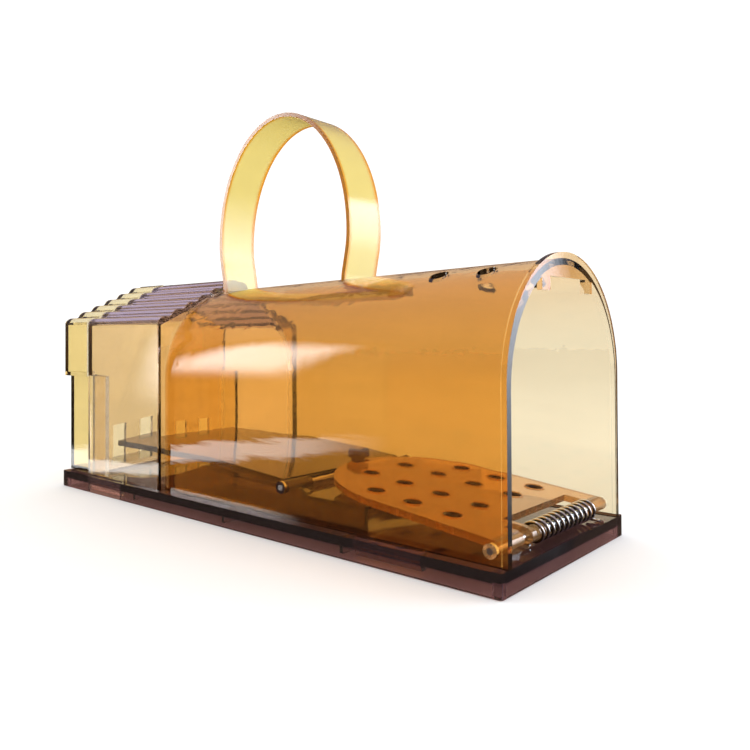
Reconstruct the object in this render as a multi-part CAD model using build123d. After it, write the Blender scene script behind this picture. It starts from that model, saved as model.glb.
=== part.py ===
from build123d import *
import math
import os

# Live catch trap for a mouse, in millimetres.
# Origin at the centre of the footprint, on the surface that the trap stands on.
# +X points out of the entrance, +Z is up, and the carry strap arches along X.

# Overall size
LENGTH = 203.0
WIDTH = 75.0
HEIGHT = 84.0

# Walls and clearances
SHELL_WALL = 1.8
CAP_WALL = 1.5
REST_GAP = 0.3
RUN_GAP = 0.05

# Base tray
TRAY_FLOOR = 3.0
SKIRT_DEPTH = 3.2
SKIRT_WALL = 1.6
TRAY_CORNER = 0.8
CORNER_POST = 3.2
LEDGE = 3.0
RIB_WALL = 1.2
CLIP_LENGTH = 22.0
CLIP_HOOK = 0.6
CLIP_FOOT = 1.0
CLIP_REAR_INSET = 13.5
CLIP_FRONT_INSET = 35.5

# Tunnel and house
CAP_LENGTH = 17.5
HOUSE_LENGTH = 48.0
HOUSE_INSET = 1.5
ROOF_RISE = 17.2
TILE_COUNT = 6
TILE_RISE = 0.9
RIM_THICK = 1.6
RIM_RISE = 1.6
RIM_PROUD = 0.3
TAPER_SIDE = 0.8
TAPER_TOP = 3.0
VENT_RADIUS = 2.75
VENT_Y = 13.5
VENT_INSETS = (17.0, 32.5)
STOP_WIDTH = 4.6
STOP_THICK = 1.5
STOP_Y = 13.3
STOP_DROP = 10.8
STOP_WEB_DROP = 7.0

# Door spring
SPRING_COIL_RADIUS = 2.75
SPRING_WIRE = 0.45
SPRING_LIFT = 0.4
SPRING_START_Y = -13.6
SPRING_END_Y = 22.4
SPRING_TURNS = 12
SPRING_DOOR_LEG = 9.0
SPRING_TRAY_LEG = 4.2
MANDREL_RADIUS = 2.1
MANDREL_LENGTH = 8.0
MANDREL_WEB = 1.8

# Door
DOOR_THICK = 2.0
DOOR_LIFT = 0.2
DOOR_RISE = 7.88
DOOR_SIDE_GAP = 1.1
DOOR_TIP_GAP = 1.2
DOOR_STOP_GAP = 1.3
SLEEVE_RADIUS = 1.9
PIN_RADIUS = 0.9
SPRING_NOTCH_DEPTH = 7.6
CATCH_NOTCH_WIDTH = 6.8
CATCH_NOTCH_DEPTH = 2.9
HOLE_RADIUS = 2.7
HOLE_PITCH = 13.0
HOLE_FIRST = 17.4
HOLE_INNER_Y = 9.1
HOLE_EDGE = 8.3

# Trip pedal
PEDAL_RISE = 5.4
PEDAL_BEHIND_DOOR = 2.7
PEDAL_THICK = 2.0
PEDAL_GAP = 0.5
PEDAL_REAR_GAP = 1.5
PEDAL_SLOPE_LENGTH = 38.2
PEDAL_TOP_RISE = 4.8
PEDAL_SKIRT = 2.4
PEDAL_SLEEVE = 9.0
CATCH_WIDTH = 5.8
CATCH_STEM = 3.5
CATCH_LENGTH = 4.4
CATCH_RISE = 5.7
CATCH_HEAD = 3.0
CATCH_NOSE_GAP = 0.2

# Cheeks and corner decks on the tray
CHEEK_WALL = 1.5
CHEEK_RISE = 2.4
CHEEK_TAIL = 1.4
CHEEK_REAR_INSET = 9.5
CHEEK_REACH = 31.8
DECK_REACH = 6.8
DECK_THICK = 1.4
DECK_GAP = 0.41
DECK_LIP = 3.0
POST_WALL = 1.5
POST_INSETS = (-18.2, 4.4)

# Rear cap and grille
CAP_PROUD = 0.5
CAP_RISE = 0.3
CAP_STEP_Z = 45.5
TONGUE_LENGTH = 11.0
GRILLE_WALL = 1.6
WINDOW_WIDTH = 6.0
WINDOW_LIFT = 2.4
WINDOW_HEIGHT = 15.4
WINDOW_YS = (-22.0, -9.5, 9.5, 22.0)

# Carry strap and its stud
STRAP_WIDTH = 16.5
STRAP_THICK = 1.4
STRAP_TAIL_WIDTH = 8.0
STRAP_RISE = 57.0
STRAP_INSET = 3.6
STRAP_SPAN = 60.0
STRAP_BOW = 2.4
STRAP_SAG = 1.6
STRAP_BELLY = 13.0
STRAP_TAIL = 20.0
STUD_INSET = 16.0
STUD_RADIUS = 1.3
STUD_HEAD_RADIUS = 2.7
STUD_HEAD = 0.8

# Places worked out from the sizes above
REAR_X = -LENGTH / 2
FRONT_X = LENGTH / 2
HOUSE_REAR_X = REAR_X + CAP_LENGTH
HOUSE_FRONT_X = HOUSE_REAR_X + HOUSE_LENGTH
CLIP_REAR_X = HOUSE_REAR_X + CLIP_REAR_INSET
CLIP_FRONT_X = FRONT_X - CLIP_FRONT_INSET
FLOOR_Z = SKIRT_DEPTH + TRAY_FLOOR
RIM_HALF = WIDTH / 2 - LEDGE
MOUTH_HALF = RIM_HALF - RIM_PROUD
MOUTH_INNER = MOUTH_HALF - SHELL_WALL
THROAT_HALF = MOUTH_HALF - TAPER_SIDE
THROAT_INNER = THROAT_HALF - SHELL_WALL
MOUTH_ARCH_Z = HEIGHT - RIM_RISE - MOUTH_HALF
THROAT_ARCH_Z = HEIGHT - RIM_RISE - TAPER_TOP - THROAT_HALF
HOUSE_HALF = WIDTH / 2 - HOUSE_INSET
HOUSE_INNER = HOUSE_HALF - SHELL_WALL
EAVE_Z = HEIGHT - ROOF_RISE
HOUSE_RIDGE = HEIGHT - CAP_RISE
CAP_HALF = HOUSE_HALF + CAP_PROUD
CAP_FRONT_X = HOUSE_REAR_X - REST_GAP
TONGUE_HALF = HOUSE_INNER - REST_GAP
TONGUE_FRONT_X = HOUSE_REAR_X + TONGUE_LENGTH
HINGE_X = FRONT_X - STOP_THICK - DOOR_STOP_GAP - DOOR_LIFT - DOOR_THICK
HINGE_Z = FLOOR_Z + SPRING_LIFT + SPRING_COIL_RADIUS + SPRING_WIRE
DOOR_HALF = MOUTH_INNER - DOOR_SIDE_GAP
DOOR_LENGTH = MOUTH_ARCH_Z + MOUTH_INNER - HINGE_Z - DOOR_TIP_GAP
DOOR_ARC_U = DOOR_LENGTH - DOOR_HALF
DOOR_SLOPE = math.degrees(math.asin(DOOR_RISE / DOOR_LENGTH))
PEDAL_X = HINGE_X - DOOR_LENGTH - PEDAL_BEHIND_DOOR
PEDAL_Z = HINGE_Z + PEDAL_RISE
PEDAL_REAR_X = TONGUE_FRONT_X + PEDAL_REAR_GAP
PEDAL_KNEE_X = PEDAL_X - PEDAL_SLOPE_LENGTH
PEDAL_FRONT_X = PEDAL_X - SLEEVE_RADIUS - REST_GAP
PEDAL_TOP_Z = PEDAL_Z + PEDAL_TOP_RISE
CATCH_HEAD_Z = PEDAL_Z + CATCH_RISE
CHEEK_OUTER = THROAT_INNER - REST_GAP
CHEEK_INNER = CHEEK_OUTER - CHEEK_WALL
CHEEK_REAR_X = PEDAL_REAR_X + CHEEK_REAR_INSET
CHEEK_FRONT_X = PEDAL_X + CHEEK_REACH
CHEEK_TOP_Z = PEDAL_Z + CHEEK_RISE
DECK_TOP_Z = HINGE_Z + (HINGE_X - CHEEK_FRONT_X) * math.tan(math.radians(DOOR_SLOPE)) - DECK_GAP
PEDAL_HALF = CHEEK_INNER - PEDAL_GAP
STRAP_REAR_X = HOUSE_FRONT_X + STRAP_INSET
STRAP_FRONT_X = STRAP_REAR_X + STRAP_SPAN
STRAP_TAIL_X = STRAP_FRONT_X + STRAP_TAIL
STUD_X = STRAP_FRONT_X + STUD_INSET
STRAP_TOP_Z = HEIGHT + STRAP_RISE


def block(x0, x1, y0, y1, z0, z1):
    """A box given by its low and high corners."""
    return Pos((x0 + x1) / 2, (y0 + y1) / 2, (z0 + z1) / 2) * Box(x1 - x0, y1 - y0, z1 - z0)


def rod_y(x, z, y0, y1, radius):
    """A round bar along Y."""
    return Pos(x, (y0 + y1) / 2, z) * Rot(90, 0, 0) * Cylinder(radius, y1 - y0)


def extrude_x(outline, x0, x1):
    """A flat outline in (Y, Z), drawn out along X from x0 to x1."""
    plane = Plane(origin=(x0, 0, 0), x_dir=(0, 1, 0), z_dir=(1, 0, 0))
    return extrude(plane * outline, amount=x1 - x0)


def extrude_y(outline, y0, y1):
    """A flat outline in (X, Z), drawn out along Y from y0 to y1."""
    plane = Plane(origin=(0, y1, 0), x_dir=(1, 0, 0), z_dir=(0, -1, 0))
    return extrude(plane * outline, amount=y1 - y0)


def polygon(*points):
    """A closed face with straight edges."""
    return make_face(Polyline(*points, close=True))


def arch(half, low_z, centre_z):
    """Upright sides with a half round on top."""
    sides = Line((-half, low_z), (half, low_z)) + Line((half, low_z), (half, centre_z))
    top = ThreePointArc((half, centre_z), (0, centre_z + half), (-half, centre_z))
    return make_face(sides + top + Line((-half, centre_z), (-half, low_z)))


def gable(half, low_z, eave_z, ridge_z):
    """A house's end wall: upright sides and a plain pitched roof."""
    return polygon((-half, low_z), (half, low_z), (half, eave_z), (0, ridge_z), (-half, eave_z))


def tiled_gable(half, low_z, eave_z, ridge_z):
    """The same end wall with rounded tiles along each slope, in S-shaped waves."""
    edges = Line((-half, low_z), (half, low_z)) + Line((half, low_z), (half, eave_z))
    slope = math.atan2(ridge_z - eave_z, half)
    for side in (1, -1):
        start = Vector(side * half, eave_z)
        step = Vector(-side * half / TILE_COUNT, (ridge_z - eave_z) / TILE_COUNT)
        out = Vector(side * math.sin(slope), math.cos(slope)) * TILE_RISE
        for tile in range(TILE_COUNT):
            foot = start + step * tile
            crest_end = foot + step * 0.68
            top = foot + step
            edges += ThreePointArc(foot, foot + step * 0.34 + out, crest_end)
            edges += ThreePointArc(crest_end, crest_end + step * 0.16 - out * 0.28, top)
    edges += Line((-half, eave_z), (-half, low_z))
    return make_face(edges)


def tunnel_share(x):
    """How far along the tunnel x lies, from 0 at the house to 1 at the entrance."""
    return (x - HOUSE_FRONT_X) / (FRONT_X - HOUSE_FRONT_X)


def tunnel_half(x):
    """The tunnel's outer half width at x."""
    return THROAT_HALF + TAPER_SIDE * tunnel_share(x)


def tunnel_roof(x, y):
    """Height of the tunnel's inner roof at x and y."""
    centre_z = THROAT_ARCH_Z + (MOUTH_ARCH_Z - THROAT_ARCH_Z) * tunnel_share(x)
    return centre_z + math.sqrt((tunnel_half(x) - SHELL_WALL) ** 2 - y ** 2)


def tunnel_solid(throat_half, mouth_half, x0, x1):
    """The tapered arch between x0 and x1, as a filled solid."""
    low, high = tunnel_share(x0), tunnel_share(x1)
    rise = MOUTH_ARCH_Z - THROAT_ARCH_Z
    wide = mouth_half - throat_half
    ends = []
    for x, share in ((x0, low), (x1, high)):
        plane = Plane(origin=(x, 0, 0), x_dir=(0, 1, 0), z_dir=(1, 0, 0))
        ends.append(plane * arch(throat_half + wide * share, FLOOR_Z, THROAT_ARCH_Z + rise * share))
    return loft(ends, ruled=True)


def base_tray():
    """Floor plate on a shallow skirt, with bearing cheeks and corner decks."""
    inside = WIDTH / 2 - SKIRT_WALL
    plate = extrude(RectangleRounded(LENGTH, WIDTH, TRAY_CORNER), amount=FLOOR_Z)
    inner = Rectangle(LENGTH - 2 * SKIRT_WALL, WIDTH - 2 * SKIRT_WALL)
    post = CORNER_POST - SKIRT_WALL
    post_x, post_y = LENGTH / 2 - SKIRT_WALL - post / 2, inside - post / 2
    for x in (post_x, -post_x):
        for y in (post_y, -post_y):
            inner -= Pos(x, y) * Rectangle(post, post)
    tray = plate - extrude(inner, amount=SKIRT_DEPTH)
    for x in (-LENGTH / 4, 0, LENGTH / 4):
        tray += block(x, x + RIB_WALL, -inside, inside, RIB_WALL, SKIRT_DEPTH)
    for side in (1, -1):
        for x, outer in clip_places():
            near, far = outer - SHELL_WALL - REST_GAP, outer + CLIP_HOOK + REST_GAP / 2
            half_clip = CLIP_LENGTH / 2 + REST_GAP
            y0, y1 = sorted((side * near, side * far))
            tray -= block(x - half_clip, x + half_clip, y0, y1, 0.0, FLOOR_Z)
        tray += cheek(side)
        tray += corner_deck(side)
    return tray


def cheek(side):
    """A low wall beside the pedal, open at the top where the pedal's sleeve sits."""
    y0, y1 = sorted((side * CHEEK_INNER, side * CHEEK_OUTER))
    tail_z = FLOOR_Z + CHEEK_TAIL
    belly_x = (CHEEK_REAR_X + PEDAL_KNEE_X) / 2
    belly_z = (FLOOR_Z + CHEEK_TOP_Z) / 2 - RIB_WALL
    step_x = PEDAL_X + POST_INSETS[0] - 5.0
    post_x = PEDAL_X + POST_INSETS[1]
    tail = ThreePointArc((CHEEK_REAR_X, tail_z), (belly_x, belly_z), (PEDAL_KNEE_X, CHEEK_TOP_Z))
    rest = Polyline(
        (PEDAL_KNEE_X, CHEEK_TOP_Z),
        (step_x, CHEEK_TOP_Z - 1.2),
        (step_x, CHEEK_TOP_Z - 2.2),
        (post_x + 2.0, DECK_TOP_Z + 1.6),
        (post_x + 4.0, DECK_TOP_Z),
        (CHEEK_FRONT_X, DECK_TOP_Z),
        (CHEEK_FRONT_X, FLOOR_Z),
        (CHEEK_REAR_X, FLOOR_Z),
        (CHEEK_REAR_X, tail_z),
    )
    wall = extrude_y(make_face(tail + rest), y0, y1)
    saddle = SLEEVE_RADIUS + REST_GAP
    wall -= rod_y(PEDAL_X, PEDAL_Z, y0, y1, saddle)
    wall -= block(PEDAL_X - saddle, PEDAL_X + saddle, y0, y1, PEDAL_Z, CHEEK_TOP_Z + 1.0)
    low, high = sorted((side * (CHEEK_INNER - PEDAL_GAP / 2), side * CHEEK_OUTER))
    for inset in POST_INSETS:
        x = PEDAL_X + inset
        post_top = PEDAL_Z - saddle - 0.4
        wall += block(x - POST_WALL / 2, x + POST_WALL / 2, low, high, FLOOR_Z, post_top)
    return wall


def corner_deck(side):
    """The level step that fills the corner beside the door's round tip."""
    low_z = DECK_TOP_Z - DECK_THICK
    y0, y1 = sorted((0.0, side * CHEEK_OUTER))
    deck = block(PEDAL_X + DECK_REACH, CHEEK_FRONT_X, y0, y1, low_z, DECK_TOP_Z)
    centre_x = HINGE_X - DOOR_ARC_U * math.cos(math.radians(DOOR_SLOPE))
    deck -= Pos(centre_x, 0, low_z + DECK_THICK / 2) * Cylinder(DOOR_HALF - DECK_LIP, 2 * DECK_THICK)
    return deck


def tunnel_shell():
    """Arched tunnel and house in one moulding, open underneath and at both ends."""
    ridge_in = SHELL_WALL / math.cos(math.atan2(HOUSE_RIDGE - EAVE_Z, HOUSE_HALF))
    slope = (HOUSE_RIDGE - EAVE_Z) / HOUSE_HALF
    inner_ridge = HOUSE_RIDGE - ridge_in
    inner_eave = inner_ridge - slope * HOUSE_INNER
    shell = tunnel_solid(THROAT_HALF, MOUTH_HALF, HOUSE_FRONT_X, FRONT_X)
    shell += extrude_x(arch(RIM_HALF, FLOOR_Z, HEIGHT - RIM_HALF), FRONT_X - RIM_THICK, FRONT_X)
    shell += extrude_x(tiled_gable(HOUSE_HALF, FLOOR_Z, EAVE_Z, HOUSE_RIDGE), HOUSE_REAR_X, HOUSE_FRONT_X)
    shell -= tunnel_solid(THROAT_INNER, MOUTH_INNER, HOUSE_FRONT_X - SHELL_WALL, FRONT_X)
    inside = gable(HOUSE_INNER, FLOOR_Z, inner_eave, inner_ridge)
    shell -= extrude_x(inside, HOUSE_REAR_X, HOUSE_FRONT_X - SHELL_WALL)
    shell += door_stops()
    shell += shell_clips()
    for inset in VENT_INSETS:
        for y in (VENT_Y, -VENT_Y):
            shell -= Pos(FRONT_X - inset, y, HEIGHT - VENT_Y / 2) * Cylinder(VENT_RADIUS, VENT_Y)
    slot_half_x = STRAP_THICK / 2 + 2 * REST_GAP
    slot_half_y = STRAP_WIDTH / 2 + REST_GAP
    for x in (STRAP_REAR_X, STRAP_FRONT_X):
        shell -= block(x - slot_half_x, x + slot_half_x, -slot_half_y, slot_half_y, MOUTH_ARCH_Z, HEIGHT)
    for x, z in ((HINGE_X, HINGE_Z), (PEDAL_X, PEDAL_Z)):
        shell -= rod_y(x, z, -WIDTH / 2, WIDTH / 2, SLEEVE_RADIUS + RUN_GAP)
    return shell


def door_stops():
    """Two tabs and a web across the top of the entrance, which the closed door rests against."""
    back_x = FRONT_X - STOP_THICK
    roof = tunnel_solid(THROAT_HALF, MOUTH_HALF, back_x, FRONT_X)
    y_in, y_out = STOP_Y - STOP_WIDTH / 2, STOP_Y + STOP_WIDTH / 2
    shapes = block(back_x, FRONT_X, -y_in, y_in, HEIGHT - STOP_WEB_DROP, HEIGHT)
    for side in (1, -1):
        y0, y1 = sorted((side * y_in, side * y_out))
        shapes += block(back_x, FRONT_X, y0, y1, HEIGHT - STOP_DROP, HEIGHT)
    return roof & shapes


def clip_places():
    """Middle of each pair of clips along X, and the outer face that its legs run down from."""
    return ((CLIP_REAR_X, HOUSE_HALF), (CLIP_FRONT_X, tunnel_half(CLIP_FRONT_X - CLIP_LENGTH / 2)))


def shell_clips():
    """Four legs with outward hooks, which snap through the tray's slots."""
    hook = Polyline(
        (-SHELL_WALL, FLOOR_Z + 1.0),
        (-SHELL_WALL, CLIP_FOOT),
        (0.0, CLIP_FOOT),
        (CLIP_HOOK, SKIRT_DEPTH - 0.5),
        (CLIP_HOOK, SKIRT_DEPTH - 2 * RUN_GAP),
        (0.0, SKIRT_DEPTH - 2 * RUN_GAP),
        (0.0, FLOOR_Z + 1.0),
        close=True,
    )
    clips = []
    for x, outer in clip_places():
        leg = extrude_x(make_face(hook), -CLIP_LENGTH / 2, CLIP_LENGTH / 2)
        clips.append(Pos(x, outer, 0) * leg)
        clips.append(Pos(x, -outer, 0) * mirror(leg, about=Plane.XZ))
    return clips


def rear_cap():
    """Pull-off hood that closes the bait space, with two tongues that run inside the house."""
    eave_z = EAVE_Z + CAP_RISE
    ridge_z = HOUSE_RIDGE + CAP_RISE
    slope = (ridge_z - eave_z) / CAP_HALF
    hood_half = CAP_HALF - CAP_WALL
    hood_ridge = ridge_z - CAP_WALL * math.sqrt(1 + slope * slope)
    hood_eave = hood_ridge - slope * hood_half
    step_z = CAP_STEP_Z + CAP_WALL
    low_z = FLOOR_Z + REST_GAP
    floor_z = low_z + CAP_WALL
    box_half = TONGUE_HALF - CAP_WALL
    inside_x = REAR_X + CAP_WALL
    cap = extrude_x(tiled_gable(CAP_HALF, CAP_STEP_Z, eave_z, ridge_z), REAR_X, CAP_FRONT_X)
    cap -= extrude_x(gable(hood_half, step_z, hood_eave, hood_ridge), inside_x, CAP_FRONT_X)
    cap += block(REAR_X, TONGUE_FRONT_X, -TONGUE_HALF, TONGUE_HALF, low_z, CAP_STEP_Z)
    cap -= block(inside_x, TONGUE_FRONT_X, -box_half, box_half, floor_z, step_z)
    cap -= block(CAP_FRONT_X - 0.7, TONGUE_FRONT_X, -box_half, box_half, 0.0, floor_z)
    return cap


def bait_grille():
    """Partition at the back of the house, with four windows that let the bait's smell through."""
    slope = (HOUSE_RIDGE - EAVE_Z) / HOUSE_HALF
    inner_ridge = HOUSE_RIDGE - SHELL_WALL * math.sqrt(1 + slope * slope)
    inner_eave = inner_ridge - slope * HOUSE_INNER
    x0, x1 = HOUSE_REAR_X, HOUSE_REAR_X + GRILLE_WALL
    step_z = CAP_STEP_Z + REST_GAP
    low_half = TONGUE_HALF - CAP_WALL - REST_GAP
    grille = extrude_x(gable(HOUSE_INNER, step_z, inner_eave, inner_ridge), x0, x1)
    grille += block(x0, x1, -low_half, low_half, FLOOR_Z, step_z)
    low_z = FLOOR_Z + WINDOW_LIFT
    for y in WINDOW_YS:
        grille -= block(x0, x1, y - WINDOW_WIDTH / 2, y + WINDOW_WIDTH / 2, low_z, low_z + WINDOW_HEIGHT)
    return grille


def door_frame_point(u, v):
    """A point on the door, u along it from the hinge and v above it, in (X, Z)."""
    a = math.radians(DOOR_SLOPE)
    return (HINGE_X - u * math.cos(a) + v * math.sin(a), HINGE_Z + u * math.sin(a) + v * math.cos(a))


def trap_door():
    """Perforated ramp with a round tip, on two sleeves that turn in the tunnel's walls."""
    low, high = DOOR_LIFT, DOOR_LIFT + DOOR_THICK
    outline = arch(DOOR_HALF, 0.0, DOOR_ARC_U)
    plate = extrude(outline, amount=DOOR_THICK)
    notch_y0 = SPRING_START_Y - SPRING_WIRE
    notch_y1 = SPRING_END_Y + 3 * SPRING_WIRE
    near_y, far_y = sleeve_ends()
    plate -= block(notch_y0, notch_y1, -1.0, SPRING_NOTCH_DEPTH, -1.0, DOOR_THICK + 1.0)
    plate -= block(near_y, notch_y0, -1.0, SPRING_NOTCH_DEPTH / 2, -1.0, DOOR_THICK + 1.0)
    half_catch = CATCH_NOTCH_WIDTH / 2
    catch_u = DOOR_LENGTH - CATCH_NOTCH_DEPTH
    plate -= block(-half_catch, half_catch, catch_u, DOOR_LENGTH + 1.0, -1.0, DOOR_THICK + 1.0)
    for u, y in door_holes():
        plate -= Pos(y, u, DOOR_THICK / 2) * Cylinder(HOLE_RADIUS, 2 * DOOR_THICK)
    # The plate is drawn with +Y along the door, then laid back from the hinge.
    laid = Plane(origin=(0, 0, low), x_dir=(0, 1, 0), z_dir=(0, 0, 1)) * plate
    door = Pos(HINGE_X, 0, HINGE_Z) * Rot(0, DOOR_SLOPE, 0) * laid
    bore_half = tunnel_half(HINGE_X)
    door += rod_y(HINGE_X, HINGE_Z, -bore_half, near_y, SLEEVE_RADIUS)
    door += rod_y(HINGE_X, HINGE_Z, far_y, bore_half, SLEEVE_RADIUS)
    door += mandrel(high)
    door -= rod_y(HINGE_X, HINGE_Z, -bore_half, bore_half, PIN_RADIUS)
    return door


def sleeve_ends():
    """The inner ends of the door's two sleeves in Y, one each side of the spring."""
    return SPRING_START_Y - MANDREL_LENGTH * 0.8, SPRING_END_Y + SPRING_WIRE + 1.15


def mandrel(top):
    """A short hub inside the spring's near end, on a web from the door."""
    y0 = SPRING_START_Y - SPRING_WIRE - MANDREL_WEB
    hub = rod_y(HINGE_X, HINGE_Z, y0, y0 + MANDREL_LENGTH, MANDREL_RADIUS)
    root, low_root = door_frame_point(0.0, top), door_frame_point(0.0, DOOR_LIFT)
    end = door_frame_point(SPRING_NOTCH_DEPTH, top)
    low_end = door_frame_point(SPRING_NOTCH_DEPTH, DOOR_LIFT)
    web = extrude_y(polygon(low_root, low_end, end, root), y0, y0 + MANDREL_WEB)
    return hub + web


def door_holes():
    """Places of the door's round holes, as distance along it and Y."""
    outer_y = DOOR_HALF - HOLE_EDGE
    places = []
    for row in range(int((DOOR_LENGTH - HOLE_FIRST) / HOLE_PITCH) + 1):
        u = HOLE_FIRST + row * HOLE_PITCH
        reach = math.sqrt(DOOR_HALF ** 2 - max(0.0, u - DOOR_ARC_U) ** 2)
        for y in (-outer_y, -HOLE_INNER_Y, HOLE_INNER_Y, outer_y):
            if abs(y) + HOLE_RADIUS + DOOR_THICK < reach:
                places.append((u, y))
    return places


def door_pin():
    """Steel rod through the door's sleeves and the spring."""
    half = tunnel_half(HINGE_X)
    return rod_y(HINGE_X, HINGE_Z, -half, half, PIN_RADIUS)


def door_spring():
    """Torsion spring round the pin: one leg under the door, the other along the tray's floor."""
    length = SPRING_END_Y - SPRING_START_Y
    path = Helix(length / SPRING_TURNS, length, SPRING_COIL_RADIUS, lefthand=True)
    section = Plane(origin=path @ 0, z_dir=path % 0) * Circle(SPRING_WIRE)
    spring = sweep(section, path, is_frenet=True)
    spring += Plane(origin=path @ 0, z_dir=-(path % 0)) * leg(SPRING_DOOR_LEG)
    spring += Plane(origin=path @ 1, z_dir=path % 1) * leg(SPRING_TRAY_LEG)
    return Pos(HINGE_X, SPRING_START_Y, HINGE_Z) * Rot(-90, 0, 0) * Rot(0, 0, 90) * spring


def leg(length):
    """A straight end of the spring's wire, standing on the plane's origin."""
    return Pos(0, 0, length / 2) * Cylinder(SPRING_WIRE, length)


def trip_pedal():
    """Treadle on two sleeves, with the catch that holds the door's tip."""
    half = PEDAL_HALF
    wall_half = tunnel_half(PEDAL_X)
    front_top = PEDAL_Z + SLEEVE_RADIUS
    profile = polygon(
        (PEDAL_REAR_X, PEDAL_TOP_Z),
        (PEDAL_KNEE_X, PEDAL_TOP_Z),
        (PEDAL_FRONT_X, front_top),
        (PEDAL_FRONT_X, front_top - PEDAL_THICK),
        (PEDAL_KNEE_X, PEDAL_TOP_Z - PEDAL_THICK),
        (PEDAL_REAR_X, PEDAL_TOP_Z - PEDAL_THICK),
    )
    pedal = extrude_y(profile, -half, half)
    skirt = polygon(
        (PEDAL_KNEE_X, PEDAL_TOP_Z - 0.5),
        (PEDAL_X, front_top - 0.5),
        (PEDAL_X, PEDAL_Z - SLEEVE_RADIUS / 2),
        (PEDAL_KNEE_X, PEDAL_TOP_Z - PEDAL_THICK - PEDAL_SKIRT),
    )
    for side in (1, -1):
        y0, y1 = sorted((side * (half - CAP_WALL), side * half))
        pedal += extrude_y(skirt, y0, y1)
        y0, y1 = sorted((side * (half - PEDAL_SLEEVE), side * wall_half))
        pedal += rod_y(PEDAL_X, PEDAL_Z, y0, y1, SLEEVE_RADIUS)
    pedal += pedal_catch()
    return pedal - rod_y(PEDAL_X, PEDAL_Z, -wall_half, wall_half, PIN_RADIUS)


def pedal_catch():
    """Tongue, stem and rounded head that stand in the notch of the door's tip."""
    nose_x = door_frame_point(DOOR_LENGTH - CATCH_NOTCH_DEPTH, DOOR_LIFT + DOOR_THICK / 2)[0] - CATCH_NOSE_GAP
    head_x0 = nose_x - CATCH_LENGTH
    stem_x0, stem_x1 = head_x0 + 0.5, nose_x - 0.9
    tongue_top = PEDAL_Z + SLEEVE_RADIUS
    tongue_low = tongue_top - PEDAL_THICK
    tongue = block(PEDAL_FRONT_X - 1.0, stem_x1, -CATCH_STEM, CATCH_STEM, tongue_low, tongue_top)
    stem = block(stem_x0, stem_x1, -CATCH_STEM / 2, CATCH_STEM / 2, tongue_top - 1.0, CATCH_HEAD_Z + 0.5)
    head = block(head_x0, nose_x, -CATCH_WIDTH / 2, CATCH_WIDTH / 2, CATCH_HEAD_Z, CATCH_HEAD_Z + CATCH_HEAD)
    head = fillet(head.edges().filter_by(Axis.X).group_by(Axis.Z)[-1], CATCH_HEAD * 0.45)
    return tongue + stem + head


def pedal_pin():
    """Steel rod through the pedal's sleeves."""
    half = tunnel_half(PEDAL_X)
    return rod_y(PEDAL_X, PEDAL_Z, -half, half, PIN_RADIUS)


def strap_levels():
    """Heights of the strap's inner run, all below the tunnel's roof."""
    upper = tunnel_roof(STRAP_FRONT_X, STRAP_WIDTH / 2) - STRAP_THICK / 2 - REST_GAP
    lower = upper - STRAP_THICK - REST_GAP / 2
    return upper, lower


def strap_path():
    """Centre line of the ribbon in (X, Z), from one tail through the loop to the other."""
    upper, lower = strap_levels()
    rear = tunnel_roof(STRAP_REAR_X, STRAP_WIDTH / 2) - STRAP_THICK / 2 - REST_GAP
    left, right = STRAP_REAR_X - STRAP_BOW, STRAP_FRONT_X + STRAP_BOW
    belly_z = HEIGHT + STRAP_BELLY
    rear_points = [
        (STRAP_TAIL_X, lower),
        (STUD_X - 7.0, lower),
        (8.0, lower - STRAP_SAG),
        (STRAP_REAR_X - 0.2, rear),
        (STRAP_REAR_X, HEIGHT - 3.0),
        (left, belly_z - 4.0),
        (left, belly_z),
    ]
    front_points = [
        (right, belly_z),
        (right, belly_z - 4.0),
        (STRAP_FRONT_X, HEIGHT - 3.0),
        (STRAP_FRONT_X + 0.2, upper),
        (STRAP_TAIL_X, upper),
    ]
    rear_leg = FilletPolyline(*rear_points, radius=[20.0, 60.0, 2.6, 22.0, 36.0])
    front_leg = FilletPolyline(*front_points, radius=[36.0, 12.0, 2.2])
    loop = EllipticalCenterArc(
        center=((left + right) / 2, belly_z),
        x_radius=(right - left) / 2,
        y_radius=STRAP_TOP_Z - STRAP_THICK / 2 - belly_z,
        start_angle=180.0,
        arc_size=-180.0,
    )
    return Wire(rear_leg.edges() + loop.edges() + front_leg.edges())


def carry_strap():
    """Flat ribbon bent to a loop, with both tails under the tunnel's roof."""
    half = STRAP_WIDTH / 2
    path = Plane(origin=(0, 0, 0), x_dir=(1, 0, 0), z_dir=(0, -1, 0)) * strap_path()
    section = Plane(origin=path @ 0, z_dir=path % 0, x_dir=(0, 1, 0)) * Rectangle(STRAP_WIDTH, STRAP_THICK)
    strap = sweep(section, path)
    tail = STRAP_TAIL_WIDTH / 2
    low, high = strap_levels()[1] - 4.0, strap_levels()[0] + 4.0
    for side in (1, -1):
        trim = polygon(
            (STRAP_FRONT_X + 4.0, side * (half + 1.0)),
            (STRAP_FRONT_X + 4.0, side * half),
            (STRAP_TAIL_X - 2.0, side * tail),
            (STRAP_TAIL_X + 1.0, side * tail),
            (STRAP_TAIL_X + 1.0, side * (half + 1.0)),
        )
        strap -= Pos(0, 0, low) * extrude(trim, amount=high - low, dir=(0, 0, 1))
    strap -= Pos(STUD_X, 0, (low + high) / 2) * Cylinder(STUD_RADIUS, high - low)
    return strap


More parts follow.
